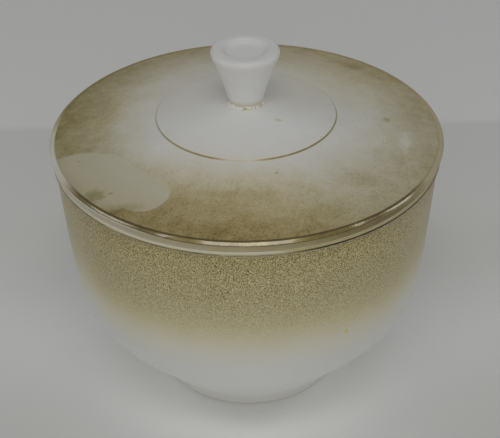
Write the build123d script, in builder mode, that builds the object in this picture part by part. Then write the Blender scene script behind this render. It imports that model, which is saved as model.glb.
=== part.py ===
"""A lidded cream or powder jar for a dressing table, in satin opal glass.

Every piece is turned about +Z. The origin is the centre of the plane that the foot ring rests on,
so the jar stands on z = 0. The lid lies loose on the jar's rim, kept near the middle by a locating
ring that hangs into the mouth, and it lifts straight off by its knob. Lengths are in millimetres,
and every cross-section is drawn with the radius along X and the height along Y.
"""

import os

from build123d import *

# Whole object
LID_RADIUS = 60.4  # crown of the gilt band round the lid
SEAT_HEIGHT = 83.0  # top of the jar's rim, where the lid lies
OVERALL_HEIGHT = 114.2  # top of the knob

# Jar, outside
FOOT_RADIUS = 30.3
FOOT_TOP_RADIUS = 31.9
FOOT_TOP_HEIGHT = 4.5
SHOULDER_RADIUS = 49.1  # where the flank turns up into the rounded shoulder
SHOULDER_HEIGHT = 24.2
WALL_LOW_RADIUS = 56.7
WALL_LOW_HEIGHT = 42.5
WALL_TOP_RADIUS = LID_RADIUS - 1.2
WALL_TOP_HEIGHT = SEAT_HEIGHT - 1.6
FOOT_COVE = 10.0  # soft hollow between the foot and the flank
FOOT_EDGE = 1.1

# Jar, inside and underneath
GLASS = 4.6  # thickness of the wall and flank
FLOOR_ROUNDING = 9.0
FOOT_RING_WIDTH = 5.4
FOOT_RECESS = 3.2

# Rims of the jar and the lid, and their gilt bands
FINE_EDGE = 0.2  # rounding of the small outside edges
JAR_RIM_RADIUS = LID_RADIUS - 0.65  # plain glass rim above the jar's band, a little wider than the wall
JAR_RIM_EDGE = 0.5
MOUTH_EDGE = 1.3
BAND_BACK_RADIUS = LID_RADIUS - 1.7  # glass behind both bands
BAND_ROUNDNESS = 0.42  # bulge of a band as a share of its height
JAR_BAND_RADIUS = LID_RADIUS - 0.6
JAR_BAND_LOW = WALL_TOP_HEIGHT + 0.15
JAR_BAND_HIGH = JAR_BAND_LOW + 0.55
LID_BAND_LOW = SEAT_HEIGHT + 1.8
LID_BAND_HIGH = LID_BAND_LOW + 1.5
SKIRT_RADIUS = LID_RADIUS - 0.8  # plain edge of the lid below its band
SKIRT_EDGE = 0.35

# Lid
LID_GLASS = 4.2
DOME_LOW_HEIGHT = SEAT_HEIGHT + 3.2  # where the dome leaves the rim
DISC_RADIUS = 27.35  # raised disc in the middle of the lid
DISC_LOW_HEIGHT = SEAT_HEIGHT + 8.95
DISC_STEP = 0.45
DISC_STEP_LEAN = 0.35
PAD_RADIUS = 6.4  # flat under the knob
PAD_HEIGHT = SEAT_HEIGHT + 13.4
DOME_BULGE = 0.35
DISC_BULGE = 0.2

# Locating ring under the lid
RING_PLAY = 1.8  # gap all round in the mouth, so the lid may lie a little off centre
RING_WIDTH = 3.1
RING_DEPTH = 5.0
RING_DRAFT = 0.3
RING_EDGE = 0.9
RING_ROOT = 0.8
UNDERSIDE_RISE = 0.3  # underside of the dome above the seat, at the ring

# Knob
KNOB_ROOT_RADIUS = 5.1
KNOB_WAIST_RADIUS = 7.5
KNOB_WAIST_HEIGHT = 105.0
KNOB_LIP_RADIUS = 10.3
KNOB_LIP_HEIGHT = 1.8
KNOB_LIP_EDGE = 1.1
KNOB_LIP_BLEND = 2.5
DIMPLE_RADIUS = 7.0
DIMPLE_DEPTH = 1.3
DIMPLE_EDGE = 0.8
PEG_RADIUS = 3.0
PEG_LENGTH = 2.1  # below the knob's root

# Cement that holds the knob
CEMENT = 0.3  # film under the root and all round the peg
BEAD_RADIUS = 6.1
BEAD_HEIGHT = 0.8
BEAD_BULGE = 0.15

SAME_PLACE = 0.01  # two edges nearer than this are the same edge


def point_inside(line, along):
    """The point one glass thickness inward of a place on an outside line that runs downward."""
    place = line @ along
    heading = line % along
    return (place.X + GLASS * heading.Y, place.Y - GLASS * heading.X)


def round_edge(part, radius, height, rounding):
    """Round the circular edge that a turned part has at one radius and height."""
    edges = part.edges().filter_by(GeomType.CIRCLE)
    edges = edges.filter_by(lambda edge: abs(edge.radius - radius) < SAME_PLACE)
    edges = edges.filter_by(lambda edge: abs(edge.arc_center.Z - height) < SAME_PLACE)
    fillet(edges, radius=rounding)


def band_section(low, high, crown_radius):
    """Cross-section of a gilt band: a flat back on the glass, plain sides, a bulging front."""
    shoulder_radius = crown_radius - BAND_ROUNDNESS * (high - low)
    with BuildSketch(Plane.XZ) as section:
        with BuildLine():
            Polyline(
                (shoulder_radius, low),
                (BAND_BACK_RADIUS, low),
                (BAND_BACK_RADIUS, high),
                (shoulder_radius, high),
            )
            ThreePointArc(
                (shoulder_radius, high),
                (crown_radius, (low + high) / 2),
                (shoulder_radius, low),
            )
        make_face()
    return section.sketch


os.makedirs("parts", exist_ok=True)

# Jar body: foot ring, flared flank, rounded shoulder, nearly straight wall, a groove for the gilt
# band and a plain rim above it
with BuildPart() as jar_body:
    with BuildSketch(Plane.XZ):
        with BuildLine():
            wall = Line((WALL_TOP_RADIUS, WALL_TOP_HEIGHT), (WALL_LOW_RADIUS, WALL_LOW_HEIGHT))
            shoulder = TangentArc(wall @ 1, (SHOULDER_RADIUS, SHOULDER_HEIGHT), tangent=wall % 1)
            flank = TangentArc(
                shoulder @ 1, (FOOT_TOP_RADIUS, FOOT_TOP_HEIGHT), tangent=shoulder % 1
            )
            Polyline(
                flank @ 1,
                (FOOT_RADIUS, 0),
                (0, 0),
                (0, SEAT_HEIGHT),
                (JAR_RIM_RADIUS, SEAT_HEIGHT),
                (JAR_RIM_RADIUS, JAR_BAND_HIGH),
                (BAND_BACK_RADIUS, JAR_BAND_HIGH),
                (BAND_BACK_RADIUS, WALL_TOP_HEIGHT),
                wall @ 0,
            )
        make_face()
    revolve(axis=Axis.Z)

    # The hollow keeps one glass thickness inside the wall, the shoulder and the flank
    with BuildSketch(Plane.XZ):
        with BuildLine():
            inner_wall = Line(point_inside(wall, 0), point_inside(wall, 1))
            inner_shoulder = TangentArc(
                inner_wall @ 1, point_inside(shoulder, 1), tangent=inner_wall % 1
            )
            inner_flank = TangentArc(
                inner_shoulder @ 1, point_inside(flank, 1), tangent=inner_shoulder % 1
            )
            mouth_radius = (inner_wall @ 0).X
            floor_radius = (inner_flank @ 1).X
            floor_height = (inner_flank @ 1).Y
            Polyline(
                inner_flank @ 1,
                (0, floor_height),
                (0, SEAT_HEIGHT),
                (mouth_radius, SEAT_HEIGHT),
                inner_wall @ 0,
            )
        make_face()
    revolve(axis=Axis.Z, mode=Mode.SUBTRACT)

    # Recess inside the foot ring
    recess_radius = FOOT_RADIUS - FOOT_RING_WIDTH
    with BuildSketch():
        Circle(recess_radius)
    extrude(amount=FOOT_RECESS, mode=Mode.SUBTRACT)

    round_edge(jar_body, floor_radius, floor_height, FLOOR_ROUNDING)
    round_edge(jar_body, FOOT_TOP_RADIUS, FOOT_TOP_HEIGHT, FOOT_COVE)
    round_edge(jar_body, FOOT_RADIUS, 0, FOOT_EDGE)
    round_edge(jar_body, recess_radius, 0, FOOT_EDGE)
    round_edge(jar_body, recess_radius, FOOT_RECESS, FOOT_EDGE)
    round_edge(jar_body, WALL_TOP_RADIUS, WALL_TOP_HEIGHT, FINE_EDGE)
    round_edge(jar_body, JAR_RIM_RADIUS, JAR_BAND_HIGH, FINE_EDGE)
    round_edge(jar_body, JAR_RIM_RADIUS, SEAT_HEIGHT, JAR_RIM_EDGE)
    round_edge(jar_body, mouth_radius, SEAT_HEIGHT, MOUTH_EDGE)

jar_body.part.label = "jar_body"
export_step(jar_body.part, "parts/jar_body.step")

# Jar rim band: fine gilt ring in the groove between the wall and the rim
with BuildPart() as jar_rim_band:
    add(band_section(JAR_BAND_LOW, JAR_BAND_HIGH, JAR_BAND_RADIUS))
    revolve(axis=Axis.Z)

jar_rim_band.part.label = "jar_rim_band"
export_step(jar_rim_band.part, "parts/jar_rim_band.step")

# Lid shell: shallow dome with a raised disc, a flat pad and a socket for the knob, a plain skirt,
# and the locating ring below
ring_outer_radius = mouth_radius - RING_PLAY
ring_inner_radius = ring_outer_radius - RING_WIDTH
ring_tip_height = SEAT_HEIGHT - RING_DEPTH
underside_height = SEAT_HEIGHT + UNDERSIDE_RISE
root_height = PAD_HEIGHT + CEMENT
peg_tip_height = root_height - PEG_LENGTH
socket_floor_height = peg_tip_height - CEMENT
socket_radius = PEG_RADIUS + CEMENT
with BuildPart() as lid_shell:
    with BuildSketch(Plane.XZ):
        with BuildLine():
            dome_low = (BAND_BACK_RADIUS, DOME_LOW_HEIGHT)
            dome_high = (DISC_RADIUS + DISC_STEP_LEAN, DISC_LOW_HEIGHT)
            disc_low = (DISC_RADIUS, DISC_LOW_HEIGHT + DISC_STEP)
            disc_high = (PAD_RADIUS, PAD_HEIGHT)
            SagittaArc(dome_low, dome_high, -DOME_BULGE)
            Line(dome_high, disc_low)
            SagittaArc(disc_low, disc_high, -DISC_BULGE)
            Polyline(
                disc_high,
                (0, PAD_HEIGHT),
                (0, PAD_HEIGHT - LID_GLASS),
                (PAD_RADIUS, PAD_HEIGHT - LID_GLASS),
                (ring_inner_radius, underside_height),
                (ring_inner_radius + RING_DRAFT, ring_tip_height),
                (ring_outer_radius - RING_DRAFT, ring_tip_height),
                (ring_outer_radius, SEAT_HEIGHT),
                (SKIRT_RADIUS, SEAT_HEIGHT),
                (SKIRT_RADIUS, LID_BAND_LOW),
                (BAND_BACK_RADIUS, LID_BAND_LOW),
                dome_low,
            )
        make_face()
    revolve(axis=Axis.Z)

    # Blind socket for the knob's peg
    with BuildSketch(Plane.XY.offset(socket_floor_height)):
        Circle(socket_radius)
    extrude(amount=PAD_HEIGHT - socket_floor_height, mode=Mode.SUBTRACT)

    round_edge(lid_shell, ring_inner_radius + RING_DRAFT, ring_tip_height, RING_EDGE)
    round_edge(lid_shell, ring_outer_radius - RING_DRAFT, ring_tip_height, RING_EDGE)
    round_edge(lid_shell, ring_inner_radius, underside_height, RING_ROOT)
    round_edge(lid_shell, ring_outer_radius, SEAT_HEIGHT, RING_ROOT)
    round_edge(lid_shell, SKIRT_RADIUS, SEAT_HEIGHT, SKIRT_EDGE)

lid_shell.part.label = "lid_shell"
export_step(lid_shell.part, "parts/lid_shell.step")

# Lid rim band: gilt bead that stands on the skirt's ledge
with BuildPart() as lid_rim_band:
    add(band_section(LID_BAND_LOW, LID_BAND_HIGH, LID_RADIUS))
    revolve(axis=Axis.Z)

lid_rim_band.part.label = "lid_rim_band"
export_step(lid_rim_band.part, "parts/lid_rim_band.step")

# Knob: flares from a narrow root to a rounded lip, with a shallow dimple on top and a peg below
lip_low_height = OVERALL_HEIGHT - KNOB_LIP_HEIGHT
with BuildPart() as knob:
    with BuildSketch(Plane.XZ):
        with BuildLine():
            ThreePointArc(
                (KNOB_LIP_RADIUS, lip_low_height),
                (KNOB_WAIST_RADIUS, KNOB_WAIST_HEIGHT),
                (KNOB_ROOT_RADIUS, root_height),
            )
            Polyline(
                (KNOB_ROOT_RADIUS, root_height),
                (PEG_RADIUS, root_height),
                (PEG_RADIUS, peg_tip_height),
                (0, peg_tip_height),
                (0, OVERALL_HEIGHT),
                (KNOB_LIP_RADIUS, OVERALL_HEIGHT),
                (KNOB_LIP_RADIUS, lip_low_height),
            )
        make_face()
    revolve(axis=Axis.Z)

    # The dimple is a cap of a large sphere
    dimple_sphere = (DIMPLE_RADIUS**2 + DIMPLE_DEPTH**2) / (2 * DIMPLE_DEPTH)
    with Locations((0, 0, OVERALL_HEIGHT - DIMPLE_DEPTH + dimple_sphere)):
        Sphere(dimple_sphere, mode=Mode.SUBTRACT)

    round_edge(knob, DIMPLE_RADIUS, OVERALL_HEIGHT, DIMPLE_EDGE)
    round_edge(knob, KNOB_LIP_RADIUS, OVERALL_HEIGHT, KNOB_LIP_EDGE)
    round_edge(knob, KNOB_LIP_RADIUS, lip_low_height, KNOB_LIP_BLEND)

knob.part.label = "knob"
export_step(knob.part, "parts/knob.step")

# Knob cement: fills the socket round the peg, spreads under the root and beads up around it
bead_top = (KNOB_ROOT_RADIUS, root_height + BEAD_HEIGHT)
with BuildPart() as knob_cement:
    with BuildSketch(Plane.XZ):
        with BuildLine():
            SagittaArc((BEAD_RADIUS, PAD_HEIGHT), bead_top, -BEAD_BULGE)
            Polyline(
                bead_top,
                (0, root_height + BEAD_HEIGHT),
                (0, socket_floor_height),
                (socket_radius, socket_floor_height),
                (socket_radius, PAD_HEIGHT),
                (BEAD_RADIUS, PAD_HEIGHT),
            )
        make_face()
    revolve(axis=Axis.Z)
    add(knob.part, mode=Mode.SUBTRACT)

knob_cement.part.label = "knob_cement"
export_step(knob_cement.part, "parts/knob_cement.step")
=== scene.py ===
"""Looks of a lidded cream jar in satin opal glass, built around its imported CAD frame.

Everything is in the frame of the CAD model: +Z up, the jar stands on z = 0 and its front faces -Y.
Cross-sections are drawn in millimetres as (radius, height) and turned about +Z. Positions round
the jar are given as a bearing in degrees: 0 is the front, 90 the right-hand side, -90 the left.
"""

import math

import bpy
from mathutils import Matrix, Vector, noise


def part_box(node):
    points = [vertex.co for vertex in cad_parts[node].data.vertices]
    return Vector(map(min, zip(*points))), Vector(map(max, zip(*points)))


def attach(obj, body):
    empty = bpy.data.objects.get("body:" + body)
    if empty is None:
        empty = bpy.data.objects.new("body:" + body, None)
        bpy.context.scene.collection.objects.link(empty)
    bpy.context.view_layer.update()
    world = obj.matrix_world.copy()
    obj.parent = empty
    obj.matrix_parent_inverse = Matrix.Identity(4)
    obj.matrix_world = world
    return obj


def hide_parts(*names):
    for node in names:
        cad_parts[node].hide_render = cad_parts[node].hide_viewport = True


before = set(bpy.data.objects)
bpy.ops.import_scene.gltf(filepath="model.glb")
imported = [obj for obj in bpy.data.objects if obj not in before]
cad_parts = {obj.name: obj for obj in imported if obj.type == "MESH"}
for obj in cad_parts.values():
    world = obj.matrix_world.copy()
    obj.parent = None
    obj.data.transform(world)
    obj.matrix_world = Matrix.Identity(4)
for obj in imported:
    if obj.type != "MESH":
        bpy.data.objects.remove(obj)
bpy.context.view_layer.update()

MM = 0.001


def top_of(node):
    """Greatest height of a CAD node, in millimetres."""
    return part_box(node)[1].z / MM


def bottom_of(node):
    """Least height of a CAD node, in millimetres."""
    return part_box(node)[0].z / MM


def radius_of(node):
    """Greatest radius of a CAD node, in millimetres."""
    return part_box(node)[1].x / MM


# ---- Sizes, in millimetres, from the frame where it gives them ----
SEAT = top_of("jar_body")
LID_RADIUS = radius_of("lid_rim_band")
KNOB_TOP = top_of("knob")
KNOB_LIP = radius_of("knob")
LID_BAND_LOW, LID_BAND_HIGH = bottom_of("lid_rim_band"), top_of("lid_rim_band")
JAR_BAND_LOW, JAR_BAND_HIGH = bottom_of("jar_rim_band"), top_of("jar_rim_band")
PAD_HEIGHT = top_of("lid_shell")
RING_TIP = bottom_of("lid_shell")
SKIRT_RADIUS = radius_of("lid_shell")
JAR_RIM_RADIUS = radius_of("jar_body")
BEAD_RADIUS = radius_of("knob_cement")
BEAD_TOP = top_of("knob_cement")

FOOT_RADIUS = 30.3
FOOT_TOP = (31.9, 4.5)
FOOT_RING = 5.4
FOOT_RECESS = 3.2
FOOT_EDGE = 1.1
FOOT_COVE = 10.0
SHOULDER_LOW = (49.1, 24.2)
WALL_LOW = (56.7, 42.5)
WALL_TOP = (59.2, SEAT - 1.6)
SHOULDER_ROUNDING = 31.5
FLOOR_ROUNDING = 9.0
GLASS = 4.6
FINE_EDGE = 0.2
CREASE = 0.05  # corners hidden behind a gilt band
RIM_EDGE = 0.5
MOUTH_EDGE = 1.3
MOUTH_BLEND = 1.0
BAND_ROUNDNESS = 0.42  # bulge of the jar's band as a share of its height
BAND_BACK = 58.7
DISC_RADIUS = 27.35
DISC_FOOT = SEAT + 8.95
DISC_STEP = 0.45
DISC_STEP_LEAN = 0.35
PAD_RADIUS = 6.4
PAD_ROUNDING = 3.0
DOME_EDGE = SEAT + 3.2
LID_GLASS = 4.2
RING_PLAY = 1.8
RING_WIDTH = 3.1
RING_DRAFT = 0.3
RING_EDGE = 0.9
RING_ROOT = 0.8
UNDERSIDE_RISE = 0.3
SKIRT_EDGE = 0.35
KNOB_ROOT_RADIUS = 5.1
KNOB_ROOT = PAD_HEIGHT + 0.3
DIMPLE_RADIUS = 7.0
DIMPLE_DEPTH = 1.3
DIMPLE_SLOPE = 1.7  # width of the dimple's sloping side
KNOB_LIP_HEIGHT = 1.8
PEG_RADIUS = 3.0
PEG_DEPTH = 1.8  # below the pad
CEMENT_BORE = 3.05

# ---- Cross-sections ----
STEP = 1.2  # longest stretch between two points of a straight run
ARC_STEP = math.radians(9)


def rounded(corners, closed=False):
    """Points of an outline through corners (radius, height, rounding, bow).

    Rounding is the radius of the arc at the corner. Bow is how far the run that leads to the
    corner bulges to its right-hand side. Both may be left out.
    """
    full = [tuple(c) + (0.0,) * (4 - len(c)) for c in corners]
    count = len(full)
    arcs = []
    for i, (x, z, rounding, _) in enumerate(full):
        here = Vector((x, z))
        if rounding == 0 or (not closed and i in (0, count - 1)):
            arcs.append([here])
            continue
        before = (Vector(full[i - 1][:2]) - here).normalized()
        after = (Vector(full[(i + 1) % count][:2]) - here).normalized()
        turn = math.pi - before.angle(after)
        reach = rounding * math.tan(turn / 2)
        centre = here + (before + after).normalized() * (rounding / math.cos(turn / 2))
        start = here + before * reach - centre
        steps = max(2, math.ceil(turn / ARC_STEP))
        sense = 1 if before.x * after.y - before.y * after.x < 0 else -1
        arc = []
        for k in range(steps + 1):
            a = sense * turn * k / steps
            swung = Vector((
                start.x * math.cos(a) - start.y * math.sin(a),
                start.x * math.sin(a) + start.y * math.cos(a),
            ))
            arc.append(centre + swung)
        arcs.append(arc)
    points = list(arcs[0])
    runs = range(1, count + 1) if closed else range(1, count)
    for i in runs:
        start, end, bow = points[-1], arcs[i % count][0], full[i % count][3]
        run = end - start
        steps = max(1, math.ceil(run.length / STEP))
        side = Vector((run.y, -run.x)).normalized() if run.length > 0 else run
        for k in range(1, steps):
            u = k / steps
            points.append(start + run * u + side * (4 * bow * u * (1 - u)))
        if i < count:
            points.extend(arcs[i])
    return points


def crossing(a, b, c, d):
    """Where the line through a and b meets the line through c and d."""
    a, b, c, d = (Vector(p) for p in (a, b, c, d))
    u, v, w = b - a, d - c, c - a
    return a + u * ((w.x * v.y - w.y * v.x) / (u.x * v.y - u.y * v.x))


def moved_in(a, b, distance):
    """The line from a down to b, moved towards the axis."""
    a, b = Vector(a), Vector(b)
    heading = (b - a).normalized()
    inward = Vector((heading.y, -heading.x)) * distance
    return a + inward, b + inward


# ---- Turned meshes ----
def turn(name, points, segments, wobble=None):
    """A mesh object made by turning an outline about +Z. Points on the axis become poles.

    wobble(bearing, radius, height) may return a new radius and height, in millimetres.
    """
    verts, rings = [], []
    for p in points:
        if p.x < 1e-6:
            rings.append([len(verts)])
            verts.append((0.0, 0.0, p.y * MM))
            continue
        ring = []
        for k in range(segments):
            a = 2 * math.pi * k / segments
            r, z = wobble(math.degrees(a), p.x, p.y) if wobble else (p.x, p.y)
            ring.append(len(verts))
            verts.append((r * math.sin(a) * MM, -r * math.cos(a) * MM, z * MM))
        rings.append(ring)
    faces = []
    pairs = list(zip(rings, rings[1:]))
    if len(rings[0]) > 1:
        pairs.append((rings[-1], rings[0]))
    for low, high in pairs:
        for k in range(segments):
            n = (k + 1) % segments
            if len(low) == 1:
                faces.append((low[0], high[n], high[k]))
            elif len(high) == 1:
                faces.append((low[k], low[n], high[0]))
            else:
                faces.append((low[k], low[n], high[n], high[k]))
    mesh = bpy.data.meshes.new(name)
    mesh.from_pydata(verts, [], faces)
    mesh.polygons.foreach_set("use_smooth", [True] * len(faces))
    mesh.update()
    piece = bpy.data.objects.new(name, mesh)
    bpy.context.scene.collection.objects.link(piece)
    return piece


def half_round(low, high, crown):
    """Closed cross-section of a gilt line whose front bulges, running upward on the outside."""
    bulge = BAND_ROUNDNESS * (high - low)
    middle = (low + high) / 2
    half = (high - low) / 2
    front = []
    count = 10
    for k in range(count + 1):
        a = math.pi * (k / count - 0.5)
        front.append(Vector((crown - bulge + bulge * math.cos(a), middle + half * math.sin(a))))
    return [Vector((BAND_BACK, low))] + front + [Vector((BAND_BACK, high))]


def bevelled(low, high, crown):
    """Closed cross-section of the lid's gilt edge: a short face below a broad, barely rounded bevel."""
    tall = high - low
    return rounded([
        (BAND_BACK, low),
        (crown - 0.35 * tall, low, 0.15),
        (crown, low + 0.36 * tall, 0.2),
        (crown - 0.04, low + 0.52 * tall, 0.3),
        (crown - 0.58 * tall, high, 0.22, 0.018),
        (BAND_BACK, high),
    ], closed=True)


# ---- Shader graphs ----
class Graph:
    """Wires the nodes of one material. Each method returns an output socket."""

    def __init__(self, name):
        self.material = bpy.data.materials.new(name)
        self.material.use_nodes = True
        self.tree = self.material.node_tree
        self.tree.nodes.clear()
        where = self.tree.nodes.new("ShaderNodeTexCoord").outputs["Object"]
        self.place = self.vector("SCALE", where, scale=1 / MM)
        self.x, self.y, self.z = self.apart(self.place)
        squares = self.op("ADD", self.op("POWER", self.x, 2), self.op("POWER", self.y, 2))
        self.radius = self.op("SQRT", squares)
        behind = self.op("MULTIPLY", self.y, -1)
        self.bearing = self.op("DEGREES", self.op("ARCTAN2", self.x, behind))

    def fill(self, socket, value):
        """Links an output socket, or sets a constant."""
        if isinstance(value, bpy.types.NodeSocket):
            self.tree.links.new(value, socket)
        else:
            socket.default_value = value

    def op(self, operation, a, b=0.0, c=0.0, clamp=False):
        node = self.tree.nodes.new("ShaderNodeMath")
        node.operation = operation
        node.use_clamp = clamp
        for socket, value in zip(node.inputs, (a, b, c)):
            self.fill(socket, value)
        return node.outputs[0]

    def vector(self, operation, a, b=(0.0, 0.0, 0.0), scale=1.0):
        node = self.tree.nodes.new("ShaderNodeVectorMath")
        node.operation = operation
        self.fill(node.inputs[0], a)
        if operation == "SCALE":
            self.fill(node.inputs["Scale"], scale)
        elif operation != "LENGTH":
            self.fill(node.inputs[1], b)
        return node.outputs["Value" if operation in ("LENGTH", "DISTANCE") else "Vector"]

    def apart(self, socket):
        """The x, y and z of a vector."""
        node = self.tree.nodes.new("ShaderNodeSeparateXYZ")
        self.tree.links.new(socket, node.inputs[0])
        return node.outputs

    def noise(self, size, detail, roughness, seed, distortion=0.0):
        """Noise from 0 to 1 about 0.5, whose lumps are about size millimetres across."""
        node = self.tree.nodes.new("ShaderNodeTexNoise")
        shifted = self.vector("ADD", self.place, (seed * 17.0, seed * 31.0, seed * 7.0))
        self.fill(node.inputs["Vector"], shifted)
        node.inputs["Scale"].default_value = 1 / size
        node.inputs["Detail"].default_value = detail
        node.inputs["Roughness"].default_value = roughness
        node.inputs["Distortion"].default_value = distortion
        return node.outputs["Fac"]

    def smooth(self, value, low, high, start=0.0, end=1.0):
        """Smooth step: start below low, end above high."""
        node = self.tree.nodes.new("ShaderNodeMapRange")
        node.interpolation_type = "SMOOTHSTEP"
        names = ("Value", "From Min", "From Max", "To Min", "To Max")
        for name, v in zip(names, (value, low, high, start, end)):
            self.fill(node.inputs[name], v)
        return node.outputs["Result"]

    def mix(self, share, a, b):
        """Blend of two numbers."""
        node = self.tree.nodes.new("ShaderNodeMix")
        self.fill(node.inputs["Factor"], share)
        self.fill(node.inputs["A"], a)
        self.fill(node.inputs["B"], b)
        return node.outputs["Result"]

    def blend(self, share, a, b, kind="MIX"):
        """Blend of two colours."""
        node = self.tree.nodes.new("ShaderNodeMix")
        node.data_type = "RGBA"
        node.blend_type = kind
        self.fill(node.inputs[0], share)
        self.fill(node.inputs[6], a)
        self.fill(node.inputs[7], b)
        return node.outputs[2]

    def ramp(self, value, stops):
        """Colour or grey ramp. stops are (position, grey or (r, g, b))."""
        node = self.tree.nodes.new("ShaderNodeValToRGB")
        node.color_ramp.interpolation = "LINEAR"
        elements = node.color_ramp.elements
        while len(elements) < len(stops):
            elements.new(1.0)
        for element, (position, colour) in zip(elements, stops):
            element.position = position
            rgb = colour if isinstance(colour, tuple) else (colour,) * 3
            element.color = (*rgb, 1.0)
        self.fill(node.inputs["Fac"], value)
        return node.outputs["Color"]

    def round_ramp(self, stops):
        """Grey that changes with the bearing. stops are (bearing, grey), from -180 to 180."""
        turn_share = self.op("MULTIPLY_ADD", self.bearing, 1 / 360, 0.5)
        return self.ramp(turn_share, [(b / 360 + 0.5, g) for b, g in stops])

    def spot(self, centre, size, edge, ripple, warp):
        """1 inside an ellipse on the lid, 0 outside. Edge and warp are shares of its size.

        ripple is a noise about 0, shared by many spots, because each noise costs shader stack.
        """
        offset = self.vector("SUBTRACT", self.place, (*centre, 0.0))
        scaled = self.vector("MULTIPLY", offset, (1 / size[0], 1 / size[1], 0.0))
        away = self.vector("LENGTH", scaled)
        away = self.op("MULTIPLY_ADD", ripple, warp * 2, away)
        return self.smooth(away, 1 - edge, 1 + edge, 1.0, 0.0)

    def bump(self, height, distance, strength=1.0, normal=None):
        node = self.tree.nodes.new("ShaderNodeBump")
        node.inputs["Strength"].default_value = strength
        node.inputs["Distance"].default_value = distance * MM
        self.fill(node.inputs["Height"], height)
        if normal:
            self.fill(node.inputs["Normal"], normal)
        return node.outputs["Normal"]

    def surface(self, linked, fixed):
        """Principled surface. linked are sockets that vary, fixed are constants."""
        node = self.tree.nodes.new("ShaderNodeBsdfPrincipled")
        for name, value in {**linked, **fixed}.items():
            self.fill(node.inputs[name], value)
        out = self.tree.nodes.new("ShaderNodeOutputMaterial")
        self.tree.links.new(node.outputs[0], out.inputs["Surface"])
        return self.material


# ---- Stained opal glass ----
# How fast red, green and blue die away as the stain gets denser: (straight, curved) shares
BROWN = ((0.335, 0.065), (0.54, 0.03), (1.12, 0.0))
OLIVE = ((0.56, 0.0), (0.64, 0.0), (1.06, 0.0))
AMBER = ((0.16, 0.11), (0.305, 0.10), (1.0, 0.0))
SMOKE = ((0.34, 0.05), (0.44, 0.08), (1.0, 0.0))
BRIGHT = (0.95, 0.95, 0.93)
LID_WHITE = (0.855, 0.855, 0.84)
KNOB_WHITE = (0.98, 0.98, 0.97)
DENSEST = 3.0
LID_STAIN, JAR_STAIN, SKIRT_STAIN = 2.0, 1.15, 2.8
RAMP_RADIUS = 60
COAT_FOOT, COAT_SPAN = 36, 46  # where the jar's spray starts and how tall it is, in millimetres
OPAL_GLASS = {"IOR": 1.5, "Specular IOR Level": 0.5}


def stained(graph, density, warmth, white, cool=OLIVE, warm=BROWN):
    """Colour of opal glass under a stain of some density, cool where warmth is 0, warm at 1."""
    share = graph.op("DIVIDE", density, DENSEST, clamp=True)
    stops = 13

    def fade(rates):
        for k in range(stops):
            d = DENSEST * k / (stops - 1)
            shades = tuple(c * math.exp(-d * (a + b * d)) for c, (a, b) in zip(white, rates))
            yield k / (stops - 1), shades

    cold, tan = (graph.ramp(share, list(fade(rates))) for rates in (cool, warm))
    return graph.blend(warmth, cold, tan)


def around_half(graph, value, amount):
    """1 where a noise is 0.5, more or less by amount where it is 1 or 0."""
    return graph.op("MULTIPLY_ADD", value, 2 * amount, 1 - amount)


def skirt_stain(g):
    """Stain on the lid's upright edge: thin at the left, heavy at the front right."""
    strength = g.round_ramp([
        (-180, 0.6), (-130, 0.75), (-105, 0.7), (-90, 0.15), (-75, 0.06), (-60, 0.18),
        (-45, 0.2), (-30, 0.27), (0, 0.35), (15, 0.45), (30, 0.68), (45, 0.82), (60, 0.36),
        (75, 0.32), (105, 0.38), (130, 0.6), (180, 0.6),
    ])
    uneven = around_half(g, g.noise(5, 3, 0.6, 11), 0.25)
    return g.op("MULTIPLY", g.op("MULTIPLY", uneven, strength), SKIRT_STAIN)


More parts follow.
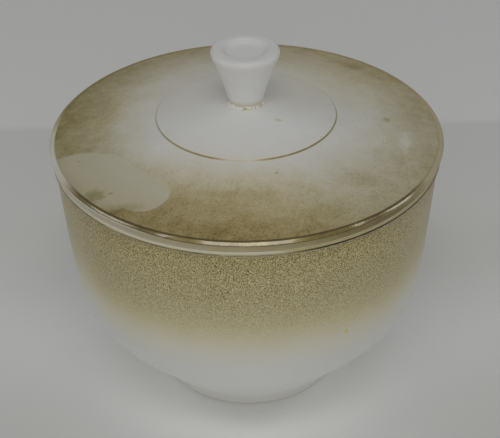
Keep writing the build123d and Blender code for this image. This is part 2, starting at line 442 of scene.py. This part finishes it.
def lid_material():
    g = Graph("lid_opal_stained")
    # The sprayed stain is densest at the rim and dies away towards the middle
    ripple = g.op("SUBTRACT", g.noise(20, 3, 0.55, 1), 0.5)
    reach = g.op("MULTIPLY_ADD", ripple, 9.0, g.radius)
    fall = [
        (0, 0), (15, 0.01), (21, 0.03), (26, 0.085), (31, 0.16), (37, 0.31), (43, 0.53), (48.5, 0.71),
        (53, 0.88), (57, 1.0), (60, 1.05),
    ]
    # A ramp can't go past 1, so it holds halves
    depth = g.ramp(g.op("DIVIDE", reach, RAMP_RADIUS), [(r / RAMP_RADIUS, d / 2) for r, d in fall])
    strength = g.round_ramp([
        (-180, 0.60), (-160, 0.52), (-130, 0.68), (-105, 0.88), (-75, 0.86), (-55, 0.76), (-30, 0.92),
        (-10, 1.0), (10, 0.97), (30, 0.64), (55, 0.53), (80, 0.51), (100, 0.56), (125, 0.58), (150, 0.55),
        (180, 0.60),
    ])
    density = g.op("MULTIPLY", g.op("MULTIPLY", depth, strength), 2 * LID_STAIN)
    density = g.op("MULTIPLY", density, around_half(g, g.noise(13, 4, 0.6, 2), 0.36))
    density = g.op("MULTIPLY", density, around_half(g, g.noise(4.5, 4, 0.65, 3), 0.48))

    # Haze behind the knob, to either side
    broad = g.op("SUBTRACT", g.noise(9, 3, 0.6, 4), 0.5)
    haze = g.op("MULTIPLY", g.spot((17, 12), (15, 15), 0.7, broad, 0.3), 0.16)
    haze = g.op("MULTIPLY_ADD", g.spot((-13, 15), (12, 16), 0.7, broad, 0.3), 0.12, haze)
    haze = g.op("MULTIPLY_ADD", g.smooth(g.y, 8, 34), 0.03, haze)
    density = g.op("ADD", haze, density)

    # Front left, where the stain has been wiped thin, with a crisp lobed edge
    wiped = g.spot((-52, -31), (20, 16), 0.02, broad, 0.10)
    for centre, size in (((-38, -34), (9.5, 9.5)), ((-29, -38.5), (7.5, 7.0))):
        wiped = g.op("MAXIMUM", wiped, g.spot(centre, size, 0.05, broad, 0.16))
    thin = g.ramp(g.op("DIVIDE", g.radius, RAMP_RADIUS), [
        (0.5, 0.08), (0.63, 0.19), (0.72, 0.32), (0.82, 0.40), (0.92, 0.46), (0.97, 0.57),
    ])
    thin = g.op("MULTIPLY", thin, around_half(g, g.noise(18, 3, 0.5, 7), 0.15))
    thin = g.op("MULTIPLY", thin, 2.0)
    wiped = g.op("MULTIPLY", wiped, g.smooth(g.radius, 37, 46))
    density = g.mix(wiped, density, g.op("MINIMUM", density, thin))

    # Flecks of stain left in the wiped place, blots and a scuff elsewhere
    blots = [
        ((-43.5, -36.3), (2.4, 2.0), 0.8, 0.8), ((-41, -37.6), (1.0, 0.8), 0.9, 0.5),
        ((-38.6, -36.4), (0.7, 0.5), 0.6, 0.7), ((-49.5, -19), (0.6, 0.4), 0.5, 0.6),
        ((-36, -43.5), (6.0, 1.8), 0.7, 0.5), ((35.5, 38.5), (3.2, 2.6), 0.8, 0.45),
        ((31, 42), (2.6, 1.8), 0.8, 0.3), ((43, -0.5), (0.9, 1.2), 0.6, 0.55),
        ((9.5, -9.8), (1.2, 0.6), 0.6, 0.4), ((8.5, -32.5), (0.5, 0.5), 0.4, 0.5),
        ((33, -33), (3.4, 2.6), 0.8, 0.2), ((38.5, -19), (1.2, 1.8), 0.8, 0.18),
        ((-45, -9.5), (2.4, 1.6), 0.9, 0.3), ((-47, -14), (2.0, 1.4), 0.9, 0.35),
        ((-4, -41), (6.0, 1.2), 0.9, 0.25),
    ]
    fine = g.op("SUBTRACT", g.noise(1.6, 3, 0.6, 20), 0.5)
    for centre, size, edge, dense in blots:
        density = g.op("MULTIPLY_ADD", g.spot(centre, size, edge, fine, 0.9), dense, density)
    scuff = g.spot((47.5, -12), (1.7, 4.4), 0.6, fine, 0.9)
    density = g.op("MULTIPLY", density, g.op("MULTIPLY_ADD", scuff, -0.42, 1.0))
    faded = g.op("MULTIPLY", g.spot((-34, -13), (13, 19), 0.55, broad, 0.2), g.smooth(g.radius, 45, 36))
    density = g.op("MULTIPLY", density, g.op("MULTIPLY_ADD", faded, -0.32, 1.0))

    # Fine grain: dark specks that thin out with the stain
    grain = g.smooth(g.noise(0.7, 3, 0.7, 8), 0.45, 0.75)
    grain = g.op("MULTIPLY", grain, g.op("MULTIPLY_ADD", wiped, -0.8, 1.0))
    density = g.op("MULTIPLY", density, g.op("MULTIPLY_ADD", grain, 0.5, 0.88))
    specks = g.smooth(g.noise(1.1, 1, 0.5, 9), 0.71, 0.77)
    speck_zone = g.op("MULTIPLY", g.smooth(g.x, -8, 12), g.smooth(g.radius, 52, 18))
    density = g.op("MULTIPLY_ADD", g.op("MULTIPLY", specks, speck_zone), 0.28, density)

    # Stain that has settled at the foot of the raised disc, worn off in front and behind
    line = g.op("ABSOLUTE", g.op("SUBTRACT", g.radius, DISC_RADIUS + 0.22))
    line = g.smooth(line, 0.27, 0.08)
    line_strength = g.round_ramp([
        (-180, 0.04), (-120, 0.16), (-75, 0.35), (-45, 0.7), (-22, 0.75), (-13, 0.15), (3, 0.1), (12, 0.6),
        (35, 0.8), (75, 0.6), (110, 0.3), (150, 0.12), (180, 0.04),
    ])
    broken = around_half(g, g.noise(2.5, 2, 0.6, 10), 0.5)
    settled = g.op("MULTIPLY", g.op("MULTIPLY", line, line_strength), broken)
    on_top = g.smooth(g.z, SEAT + 4, SEAT + 5)
    density = g.op("MULTIPLY_ADD", g.op("MULTIPLY", settled, on_top), 2.1, density)

    # The skirt is stained all over, the underside and the ring in the mouth are clean
    outermost = g.smooth(g.radius, BAND_BACK - 0.4, BAND_BACK)
    skirt = g.op("MULTIPLY", g.smooth(g.z, LID_BAND_HIGH - 0.2, LID_BAND_LOW), outermost)
    density = g.mix(skirt, density, skirt_stain(g))
    # This slope runs between the lid's upper and lower faces
    across = g.op("MULTIPLY_ADD", g.radius, -0.19, SEAT + 12.2)
    above = g.smooth(g.op("SUBTRACT", g.z, across), -0.3, 0.3)
    within = g.smooth(g.radius, BAND_BACK - 0.4, BAND_BACK - 0.7)
    clean = g.op("MINIMUM", within, g.op("SUBTRACT", 1.0, above))
    density = g.mix(clean, density, 0.03)

    warmth = g.round_ramp([
        (-180, 0.5), (-120, 0.35), (-95, 0.55), (-60, 0.2), (-35, 0.75), (-5, 1.0), (15, 0.9), (40, 0.25),
        (90, 0.2), (130, 0.8), (180, 0.5),
    ])
    warmth = g.op("MULTIPLY", warmth, g.op("MULTIPLY_ADD", wiped, -0.8, 1.0))
    colour = stained(g, density, warmth, white=LID_WHITE)
    smudge = g.noise(9, 4, 0.6, 12)
    roughness = g.op("MULTIPLY_ADD", smudge, 0.16, 0.34)
    ripples = g.noise(2.6, 3, 0.5, 13)
    normal = g.bump(ripples, 0.05, 0.5)
    normal = g.bump(g.op("MULTIPLY", density, grain), 0.02, 0.5, normal)
    return g.surface({"Base Color": colour, "Roughness": roughness, "Normal": normal}, OPAL_GLASS)


def jar_material():
    g = Graph("jar_opal_stippled")
    ripple = g.op("SUBTRACT", g.noise(26, 3, 0.5, 1), 0.5)
    height = g.op("MULTIPLY_ADD", ripple, 6.0, g.z)
    sag = g.round_ramp([(-180, 0.6), (-75, 0.25), (-50, 0.7), (0, 0.5), (45, 0.75), (75, 0.85), (180, 0.6)])
    height = g.op("MULTIPLY_ADD", sag, 6.0, g.op("SUBTRACT", height, 3.0))
    fall = [
        (36, 0), (40, 0.09), (44, 0.18), (48, 0.32), (52, 0.55), (56, 0.78), (60, 0.92), (66, 1.06),
        (74, 1.08), (81, 1.3),
    ]
    # The ramp holds halves here too
    rise = g.op("MULTIPLY_ADD", height, 1 / COAT_SPAN, -COAT_FOOT / COAT_SPAN)
    coat = g.ramp(rise, [((z - COAT_FOOT) / COAT_SPAN, d / 2) for z, d in fall])
    density = g.op("MULTIPLY", coat, 2 * JAR_STAIN)
    density = g.op("MULTIPLY", density, around_half(g, g.noise(20, 3, 0.55, 2), 0.14))

    # Stipple: short dark worms of stain, crowding together towards the rim
    grain = g.noise(0.24, 0.0, 0.5, 3, 0.2)
    worms = g.smooth(grain, 0.47, 0.58)
    aside = g.op("ABSOLUTE", g.bearing)
    sides = g.smooth(aside, 25, 65, 1.0, 0.55)
    contrast = g.op("MULTIPLY", g.smooth(height, 39, 76), sides)
    worm_share = g.op("MULTIPLY", worms, contrast)
    density = g.op("MULTIPLY", density, g.op("MULTIPLY_ADD", worm_share, 1.75, g.mix(contrast, 1.0, 0.42)))
    density = g.op("MULTIPLY", density, g.smooth(aside, 38, 72, 1.0, 0.84))

    # Lip at the top of the wall paler, a painted highlight where its edge catches the light; clean inside;
    # rim above the gilt line paler round the left and front, from thinner stain and a painted reflection of
    # bright surroundings
    lip_catchlight = g.smooth(g.z, WALL_TOP[1] - 0.55, WALL_TOP[1] - 0.25)
    density = g.op("MULTIPLY", density, g.op("MULTIPLY_ADD", lip_catchlight, -0.5, 1.0))
    # Pale rim round the left and front: thinner stain together with a painted reflection; its lower edge
    # drops at the front right
    rim_edge = g.op("MULTIPLY_ADD", g.smooth(g.bearing, 3, 17), -1.2, SEAT + 0.2)
    pale_rim_wear_and_reflection = g.smooth(g.op("SUBTRACT", rim_edge, g.z), -0.15, 0.15)
    pale_rim_wear_and_reflection = g.op("MULTIPLY", pale_rim_wear_and_reflection, g.smooth(g.bearing, -150, -110))
    pale_rim_wear_and_reflection = g.op("MULTIPLY", pale_rim_wear_and_reflection, g.smooth(g.bearing, 60, 40, 0.0, 1.0))
    rim_density = g.mix(pale_rim_wear_and_reflection, 1.25, 0.46)
    rim_density = g.op("MULTIPLY", rim_density, around_half(g, g.noise(3, 3, 0.6, 4), 0.3))
    on_rim = g.smooth(g.z, JAR_BAND_HIGH - 0.3, JAR_BAND_HIGH - 0.1)
    density = g.mix(on_rim, density, rim_density)
    inner_wall = g.op("MULTIPLY_ADD", g.z, 0.0643, 51.9)
    inside = g.smooth(g.op("SUBTRACT", g.radius, inner_wall), -0.4, -0.8)
    inside = g.op("MAXIMUM", inside, g.smooth(g.z, SEAT - 0.15, SEAT - 0.02))
    density = g.mix(inside, density, 0.02)

    # Slightly darker towards the bottom of the foot, and one yellow fleck
    foot_darkening = g.smooth(g.z, 7.0, 0.5)
    density = g.op("MULTIPLY_ADD", foot_darkening, 0.06, density)
    fleck_at = (28.6, -49.4, 46.5)
    fleck = g.smooth(g.vector("DISTANCE", g.place, fleck_at), 0.9, 0.3)
    warmth = g.smooth(aside, 15, 80, 1.0, 0.25)
    colour = stained(g, density, warmth, cool=SMOKE, warm=AMBER, white=BRIGHT)
    # Painted light: the lower wall lighter than the upper, standing in for light bounced up from the floor
    # and glowing through the glass
    painted_bounce_light = g.ramp(g.op("DIVIDE", g.z, SEAT), [(0.05, 1.0), (0.45, 0.925)])
    colour = g.blend(1.0, colour, painted_bounce_light, "MULTIPLY")
    yellowed = g.op("MULTIPLY", g.smooth(height, 58, 80), g.smooth(aside, 62, 30))
    yellowed = g.op("MULTIPLY", yellowed, g.op("SUBTRACT", 1.0, g.op("MAXIMUM", inside, on_rim)))
    colour = g.blend(yellowed, colour, (1.0, 0.96, 0.74, 1.0), "MULTIPLY")
    colour = g.blend(fleck, colour, (0.86, 0.70, 0.12, 1.0))

    roughness = g.op("MULTIPLY_ADD", worm_share, 0.12, 0.36)
    roughness = g.mix(on_rim, roughness, 0.16)
    ripples = g.noise(3.5, 3, 0.5, 5)
    normal = g.bump(ripples, 0.04, 0.4)
    normal = g.bump(worm_share, 0.03, 0.8, normal)
    return g.surface({"Base Color": colour, "Roughness": roughness, "Normal": normal}, OPAL_GLASS)


def knob_material():
    g = Graph("knob_opal_plain")
    near_root = g.smooth(g.z, KNOB_ROOT + 2.8, KNOB_ROOT + 0.6)
    density = g.op("MULTIPLY", near_root, around_half(g, g.noise(1.6, 3, 0.6, 1), 0.7))
    density = g.op("MULTIPLY", density, 0.42)
    density = g.op("MULTIPLY_ADD", g.smooth(g.noise(5, 3, 0.5, 2), 0.45, 0.8), 0.05, density)
    colour = stained(g, density, 0.4, white=KNOB_WHITE)
    # Painted shade: the knob's top and its dimple darker than its sides
    shaded_dish = g.op("MULTIPLY", g.smooth(g.radius, 8.4, 7.4), g.smooth(g.z, KNOB_TOP - 4.0, KNOB_TOP - 3.0))
    painted_shade_top = g.op("MAXIMUM", shaded_dish, g.smooth(g.z, KNOB_TOP - 0.9, KNOB_TOP - 0.2))
    colour = g.blend(painted_shade_top, colour, (0.85, 0.85, 0.84, 1.0), "MULTIPLY")
    roughness = g.op("MULTIPLY_ADD", g.noise(4, 3, 0.6, 3), 0.14, 0.32)
    normal = g.bump(g.noise(2.2, 3, 0.5, 4), 0.05, 0.5)
    return g.surface({"Base Color": colour, "Roughness": roughness, "Normal": normal}, OPAL_GLASS)


def cement_material():
    g = Graph("cement_stained")
    blotch = g.smooth(g.noise(1.3, 3, 0.6, 1), 0.5, 0.66)
    density = g.op("MULTIPLY_ADD", blotch, 1.1, 0.06)
    colour = stained(g, density, 0.9, white=BRIGHT)
    normal = g.bump(g.noise(0.4, 3, 0.6, 2), 0.12, 1.0)
    roughness = g.op("MULTIPLY_ADD", g.noise(1.5, 2, 0.5, 3), 0.2, 0.6)
    return g.surface({"Base Color": colour, "Roughness": roughness, "Normal": normal}, {"IOR": 1.5})


def gilt_surface(g):
    """Colour, roughness and relief of gilding gone dark and glossy."""
    tarnish = g.noise(5, 4, 0.65, 1)
    gold = g.ramp(tarnish, [
        (0.3, (0.17, 0.12, 0.022)), (0.5, (0.29, 0.215, 0.05)), (0.72, (0.42, 0.33, 0.11)),
    ])
    pits = g.smooth(g.noise(0.5, 2, 0.5, 3), 0.62, 0.72)
    colour = g.blend(g.op("MULTIPLY", pits, 0.5), gold, (0.06, 0.04, 0.015, 1.0))
    roughness = g.op("MULTIPLY_ADD", g.noise(3, 3, 0.6, 4), 0.2, 0.2)
    normal = g.bump(g.noise(1.4, 3, 0.6, 5), 0.04, 0.5)
    return colour, roughness, normal


def lid_gilt_material(low, high):
    """The lid's gilding: left on the upper part round the front, worn to stained glass elsewhere, with
    painted shade along the gilding's top and lower edges.
    """
    g = Graph("gilt_lid")
    colour, roughness, normal = gilt_surface(g)
    frayed = g.op("MULTIPLY", g.op("SUBTRACT", g.noise(1.2, 3, 0.6, 6), 0.5), 0.12)
    share = g.op("ADD", g.op("MULTIPLY_ADD", g.z, 1 / (high - low), -low / (high - low)), frayed)
    round_front = g.op("MULTIPLY", g.smooth(g.bearing, -64, -52), g.smooth(g.bearing, 62, 46))
    narrow = g.smooth(g.op("ABSOLUTE", g.op("SUBTRACT", g.bearing, 4)), 16, 38, 0.36, 0.60)
    above = g.op("SUBTRACT", share, narrow)
    kept = g.op("MULTIPLY", g.smooth(above, 0.0, 0.06), round_front)
    # Painted shade: dark lines along the top and lower edges of the gilding, standing in for shade in the
    # creases and dark reflections
    top_edge_shade = g.smooth(share, 0.93, 0.99)
    bottom_edge_shade = g.smooth(above, 0.18, 0.10)
    edge = g.op("MAXIMUM", g.op("MULTIPLY", top_edge_shade, 0.7), bottom_edge_shade)
    colour = g.blend(g.op("MULTIPLY", edge, 0.85), colour, (0.06, 0.038, 0.012, 1.0))
    worn = stained(g, skirt_stain(g), 0.6, white=LID_WHITE)
    colour = g.blend(kept, worn, colour)
    return g.surface(
        {
            "Base Color": colour, "Normal": normal, "Roughness": g.mix(kept, 0.4, roughness),
            "Metallic": g.op("MULTIPLY", kept, g.mix(edge, 0.3, 0.0)),
            "Coat Weight": g.op("MULTIPLY", kept, g.mix(edge, 1.0, 0.2)),
        },
        {"IOR": 1.6, "Coat Roughness": 0.09, "Coat IOR": 1.62},
    )


def jar_gilt_material(low, high):
    """The jar's gilt line, darkened along both edges by painted shade, and dull from the front right round
    the side.
    """
    g = Graph("gilt_jar")
    colour, roughness, normal = gilt_surface(g)
    tall = high - low
    # Painted shade: dark along the top and bottom edges, where the half-round band meets the glass
    top_edge_shade = g.smooth(g.z, high - 0.08 * tall, high - 0.02 * tall)
    bottom_edge_shade = g.smooth(g.z, low + 0.35 * tall, low + 0.15 * tall)
    dull = g.op("MULTIPLY", g.smooth(g.bearing, 8, 22), g.smooth(g.bearing, 150, 120))
    edge_shade_and_dull = g.op("MAXIMUM", g.op("MULTIPLY", g.op("MAXIMUM", top_edge_shade, bottom_edge_shade), 0.8), dull)
    colour = g.blend(edge_shade_and_dull, colour, (0.03, 0.02, 0.01, 1.0))
    return g.surface(
        {
            "Base Color": colour, "Normal": normal, "Roughness": roughness,
            "Metallic": g.mix(edge_shade_and_dull, 0.3, 0.0), "Coat Weight": g.mix(dull, 1.0, 0.15),
        },
        {"IOR": 1.6, "Coat Roughness": 0.07, "Coat IOR": 1.9},
    )


# ---- Pieces ----
def finish_piece(piece, node, body, material):
    piece.data.materials.append(material)
    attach(piece, body)
    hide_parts(node)


ROUND = 320  # segments of the jar and the lid
SMALL_ROUND = 160  # segments of the knob and its cement

shoulder = crossing(WALL_TOP, WALL_LOW, SHOULDER_LOW, FOOT_TOP)
wall_in = moved_in(WALL_TOP, WALL_LOW, GLASS)
flank_in = moved_in(SHOULDER_LOW, FOOT_TOP, GLASS)
shoulder_in = crossing(*wall_in, *flank_in)
mouth = wall_in[0].x
recess = FOOT_RADIUS - FOOT_RING
jar_outline = rounded([
    (0, FOOT_RECESS),
    (recess, FOOT_RECESS, FOOT_EDGE),
    (recess, 0, FOOT_EDGE),
    (FOOT_RADIUS, 0, FOOT_EDGE),
    (*FOOT_TOP, FOOT_COVE),
    (*shoulder, SHOULDER_ROUNDING),
    (*WALL_TOP, FINE_EDGE),
    (BAND_BACK, WALL_TOP[1], CREASE),
    (BAND_BACK, JAR_BAND_HIGH, CREASE),
    (JAR_RIM_RADIUS, JAR_BAND_HIGH, FINE_EDGE),
    (JAR_RIM_RADIUS, SEAT, RIM_EDGE),
    (mouth, SEAT, MOUTH_EDGE),
    (*wall_in[0], MOUTH_BLEND),
    (*shoulder_in, SHOULDER_ROUNDING - GLASS),
    (*flank_in[1], FLOOR_ROUNDING),
    (0, flank_in[1].y),
])
finish_piece(turn("jar_glass", jar_outline, ROUND), "jar_body", "jar", jar_material())

ring_outer = mouth - RING_PLAY
ring_inner = ring_outer - RING_WIDTH
lid_outline = rounded([
    (0, PAD_HEIGHT - LID_GLASS),
    (PAD_RADIUS, PAD_HEIGHT - LID_GLASS, PAD_ROUNDING),
    (ring_inner, SEAT + UNDERSIDE_RISE, RING_ROOT),
    (ring_inner + RING_DRAFT, RING_TIP, RING_EDGE),
    (ring_outer - RING_DRAFT, RING_TIP, RING_EDGE),
    (ring_outer, SEAT, RING_ROOT),
    (SKIRT_RADIUS, SEAT, SKIRT_EDGE),
    (SKIRT_RADIUS, LID_BAND_LOW, CREASE),
    (BAND_BACK, LID_BAND_LOW, CREASE),
    (BAND_BACK, DOME_EDGE, CREASE),
    (DISC_RADIUS + DISC_STEP_LEAN, DISC_FOOT, 0.25, 0.35),
    (DISC_RADIUS, DISC_FOOT + DISC_STEP, 0.3),
    (PAD_RADIUS, PAD_HEIGHT, PAD_ROUNDING, 0.2),
    (0, PAD_HEIGHT),
])
finish_piece(turn("lid_glass", lid_outline, ROUND), "lid_shell", "lid", lid_material())

jar_band_outline = half_round(JAR_BAND_LOW, JAR_BAND_HIGH, radius_of("jar_rim_band"))
jar_gilt = jar_gilt_material(JAR_BAND_LOW, JAR_BAND_HIGH)
finish_piece(turn("jar_gilt_band", jar_band_outline, ROUND), "jar_rim_band", "jar", jar_gilt)

lid_band_outline = bevelled(LID_BAND_LOW, LID_BAND_HIGH, LID_RADIUS)
lid_gilt = lid_gilt_material(LID_BAND_LOW, LID_BAND_HIGH)
finish_piece(turn("lid_gilt_band", lid_band_outline, ROUND), "lid_rim_band", "lid", lid_gilt)

knob_outline = rounded([
    (0, PAD_HEIGHT - PEG_DEPTH),
    (PEG_RADIUS, PAD_HEIGHT - PEG_DEPTH, 0.1),
    (PEG_RADIUS, KNOB_ROOT, CREASE),
    (KNOB_ROOT_RADIUS, KNOB_ROOT, 0.1),
    (KNOB_LIP, KNOB_TOP - KNOB_LIP_HEIGHT, 2.5, -0.33),
    (KNOB_LIP, KNOB_TOP, 1.1),
    (DIMPLE_RADIUS, KNOB_TOP, 1.0),
    (DIMPLE_RADIUS - DIMPLE_SLOPE, KNOB_TOP - DIMPLE_DEPTH, 2.2),
    (0, KNOB_TOP - DIMPLE_DEPTH),
])
finish_piece(turn("knob_glass", knob_outline, SMALL_ROUND), "knob", "lid", knob_material())


def ragged(bearing, radius, height):
    """Eats the cement bead in and down at random-looking places, never past its CAD outline."""
    a = math.radians(bearing)
    lump = noise.noise(Vector((math.sin(a) * 1.7, math.cos(a) * 1.7, 4.3)))
    crumb = noise.noise(Vector((math.sin(a) * 4.6, math.cos(a) * 4.6, height * 0.8)))
    grit = noise.noise(Vector((math.sin(a) * 13.3, math.cos(a) * 13.3, height * 2.5)))
    free = min(1.0, max(0.0, (height - PAD_HEIGHT + 0.05) / 0.4)) if radius > 4.9 else 0.0
    outward = -0.3 + 0.6 * lump + 0.45 * crumb + 0.12 * grit
    upward = 0.5 * crumb + 0.1 * grit - 0.12
    return radius + min(0.0, outward) * free, height + min(0.0, upward) * free


cement_outline = rounded([
    (CEMENT_BORE, PAD_HEIGHT + 0.02),
    (BEAD_RADIUS, PAD_HEIGHT + 0.02, 0.1),
    (KNOB_ROOT_RADIUS + 0.25, BEAD_TOP, 0.15, 0.15),
    (CEMENT_BORE, BEAD_TOP - 0.2, 0.1),
], closed=True)
cement_bead = turn("knob_cement_bead", cement_outline, SMALL_ROUND, ragged)
finish_piece(cement_bead, "knob_cement", "lid", cement_material())

# ---- Floor, light and camera ----
HALF_FLOOR = 3.0  # metres
floor_mesh = bpy.data.meshes.new("floor")
corners = [(x * HALF_FLOOR, y * HALF_FLOOR, 0) for x, y in ((-1, -1), (1, -1), (1, 1), (-1, 1))]
floor_mesh.from_pydata(corners, [], [(0, 1, 2, 3)])
floor = bpy.data.objects.new("floor", floor_mesh)
bpy.context.scene.collection.objects.link(floor)
g = Graph("floor_pale")
# Floor tone: slight random variation, plus painted light and shade round the jar
floor_tone_and_light = g.blend(g.noise(60, 3, 0.5, 1), (0.90, 0.90, 0.885, 1.0), (0.93, 0.93, 0.92, 1.0))
# Painted shade: darker farther back
floor_tone_and_light = g.blend(g.smooth(g.y, 10, 70), floor_tone_and_light, (0.80, 0.80, 0.78, 1.0))
# Painted shade: darker at the front corners
before = g.op("MULTIPLY", g.smooth(g.y, 10, -50), g.smooth(g.op("ABSOLUTE", g.x), 0, 80))
floor_tone_and_light = g.blend(before, floor_tone_and_light, (0.80, 0.80, 0.785, 1.0))
# Painted pool of light round the jar's foot, hiding its contact shadow
floor_tone_and_light = g.blend(g.smooth(g.radius, 64, 38), floor_tone_and_light, (0.985, 0.985, 0.97, 1.0))
far = g.smooth(g.y, 148, 156)
floor_tone_and_light = g.blend(far, floor_tone_and_light, (0.895, 0.895, 0.89, 1.0))
floor_mesh.materials.append(g.surface({"Base Color": floor_tone_and_light}, {"Roughness": 0.6}))

world = bpy.data.worlds.new("studio")
bpy.context.scene.world = world
world.use_nodes = True
background = world.node_tree.nodes["Background"]
background.inputs["Color"].default_value = (1.0, 1.0, 0.99, 1.0)
background.inputs["Strength"].default_value = 0.165

TARGET = Vector((0, 0, 0.05))


def softbox(name, bearing, elevation, distance, size, power):
    """Rectangular light that faces the jar from a bearing and an elevation, in degrees."""
    data = bpy.data.lights.new(name, "AREA")
    data.shape = "RECTANGLE"
    data.size, data.size_y = size
    data.energy = power
    light = bpy.data.objects.new(name, data)
    a, e = math.radians(bearing), math.radians(elevation)
    away = Vector((math.sin(a) * math.cos(e), -math.cos(a) * math.cos(e), math.sin(e)))
    light.location = TARGET + away * distance
    light.rotation_euler = (-away).to_track_quat("-Z", "Y").to_euler()
    bpy.context.scene.collection.objects.link(light)


softbox("window", 0, 64, 1.7, (1.05, 0.42), 4.2)
softbox("left_window", -91, 42, 1.7, (0.5, 0.42), 1.5)
softbox("right_window", 100, 36, 1.7, (0.38, 0.36), 1.2)
softbox("left_lamp", -60, 54, 1.7, (0.12, 0.2), 0.25)
softbox("right_lamp", 77, 49, 1.7, (0.14, 0.2), 0.3)
softbox("front_fill", 0, 31, 0.9, (0.5, 0.3), 0.92)
softbox("back_fill", 180, 62, 1.7, (1.3, 0.8), 0.9)

LENS, SENSOR_WIDTH = 85.75, 36
CAMERA_PITCH = 34.57  # degrees down
CAMERA_ROLL = -0.88
# A little to the right, because the photo's lid sits to the right of its jar and the model's doesn't
CAMERA_PLACE = (0.0007, -0.318, 0.272)
camera_data = bpy.data.cameras.new("camera")
camera_data.lens = LENS
camera_data.sensor_width = SENSOR_WIDTH
camera = bpy.data.objects.new("camera", camera_data)
camera.location = CAMERA_PLACE
level = Vector((0, math.cos(math.radians(CAMERA_PITCH)), -math.sin(math.radians(CAMERA_PITCH))))
aim = level.to_track_quat("-Z", "Y").to_matrix()
camera.rotation_euler = (aim @ Matrix.Rotation(math.radians(CAMERA_ROLL), 3, "Z")).to_euler()
bpy.context.scene.collection.objects.link(camera)
bpy.context.scene.camera = camera
bpy.context.scene.view_settings.view_transform = "Standard"
